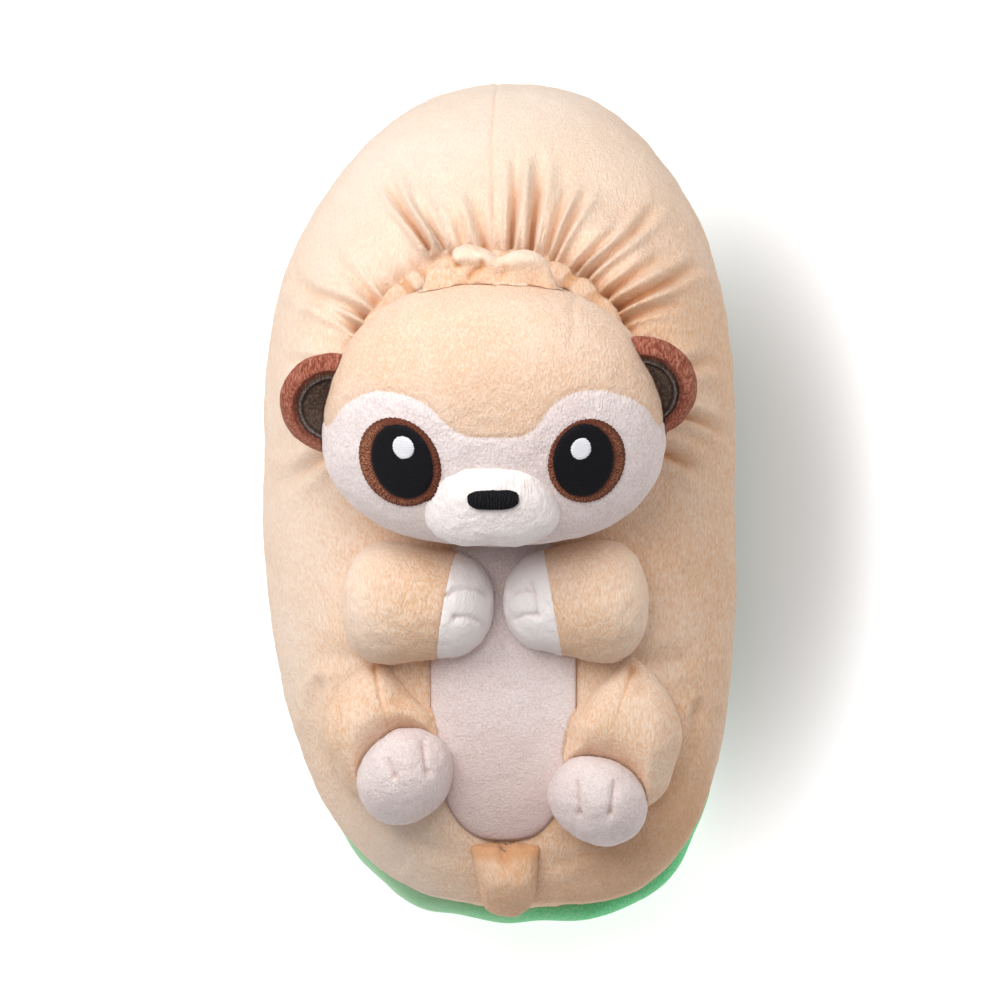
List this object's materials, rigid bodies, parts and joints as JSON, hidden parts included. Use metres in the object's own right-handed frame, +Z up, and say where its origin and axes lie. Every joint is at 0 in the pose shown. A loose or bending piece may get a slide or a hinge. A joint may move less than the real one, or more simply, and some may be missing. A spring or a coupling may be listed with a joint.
{
  "type": "animal slipper",
  "caption": "Padded plush house slipper for the right foot, with a gathered collar, a cloth-covered foam sole and a stuffed meerkat on the vamp.",
  "frame": {"origin": "on the floor under the sole, under the middle of the room for the foot", "axes": "+Z up, -Y towards the toe, +X towards the wearer's inner side"},
  "size_m": [0.1652, 0.2952, 0.1646],
  "materials": {
    "plush_tan": "short-pile plush, soft sheen",
    "plush_pink": "short-pile plush, soft sheen",
    "plush_brown": "short-pile plush",
    "plush_dark_brown": "brushed felt",
    "plush_green": "short-pile plush over foam",
    "thread_black": "satin-stitched embroidery thread",
    "lining_cream": "brushed lining cloth"
  },
  "bodies": {
    "root": {"sole": "plush_green", "insole": "lining_cream", "upper": "plush_tan", "collar_casing": "plush_tan", "belly_panel": "plush_pink", "head": "plush_tan", "muzzle": "plush_pink", "nose": "thread_black", "eye_outer": "thread_black", "eye_inner": "thread_black", "ear_outer": "plush_brown", "ear_inner": "plush_brown", "ear_lining_outer": "plush_dark_brown", "ear_lining_inner": "plush_dark_brown", "hair_tuft": "plush_tan", "arm_outer": "plush_tan", "arm_inner": "plush_tan", "paw_outer": "plush_pink", "paw_inner": "plush_pink", "leg_outer": "plush_tan", "leg_inner": "plush_tan", "foot_outer": "plush_pink", "foot_inner": "plush_pink", "tail": "plush_tan"}
  },
  "joints": []
}
